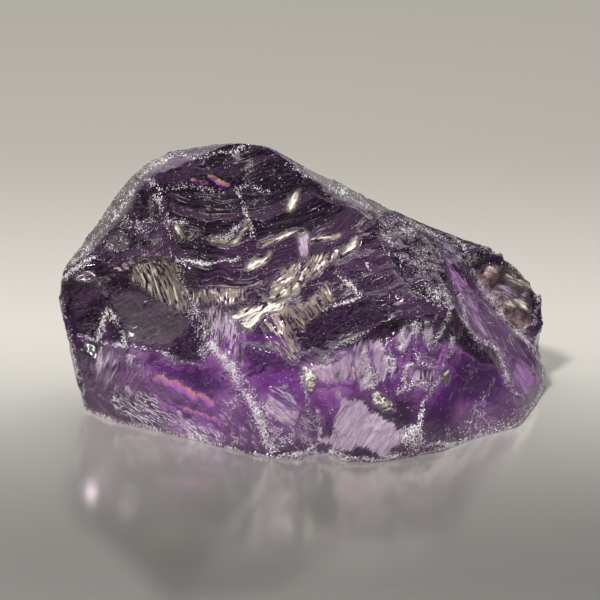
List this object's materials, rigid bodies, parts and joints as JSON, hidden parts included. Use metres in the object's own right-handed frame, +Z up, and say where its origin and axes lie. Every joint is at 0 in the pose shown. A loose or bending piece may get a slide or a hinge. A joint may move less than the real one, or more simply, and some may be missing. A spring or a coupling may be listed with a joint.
{
  "type": "rough amethyst",
  "caption": "Rough amethyst crystal: a clear purple quartz chunk with conchoidal break faces, sharp crushed ridges and a flat resting break.",
  "frame": {"origin": "middle of the piece's box, on the surface it rests on", "axes": "+X to the right along the longest side, +Y to the back, +Z up from the resting face"},
  "size_m": [0.0456, 0.0294, 0.0243],
  "materials": {
    "amethyst": "see-through purple quartz, glossy conchoidal breaks with white crushed ridges"
  },
  "bodies": {
    "root": {"amethyst": "amethyst"}
  },
  "joints": []
}
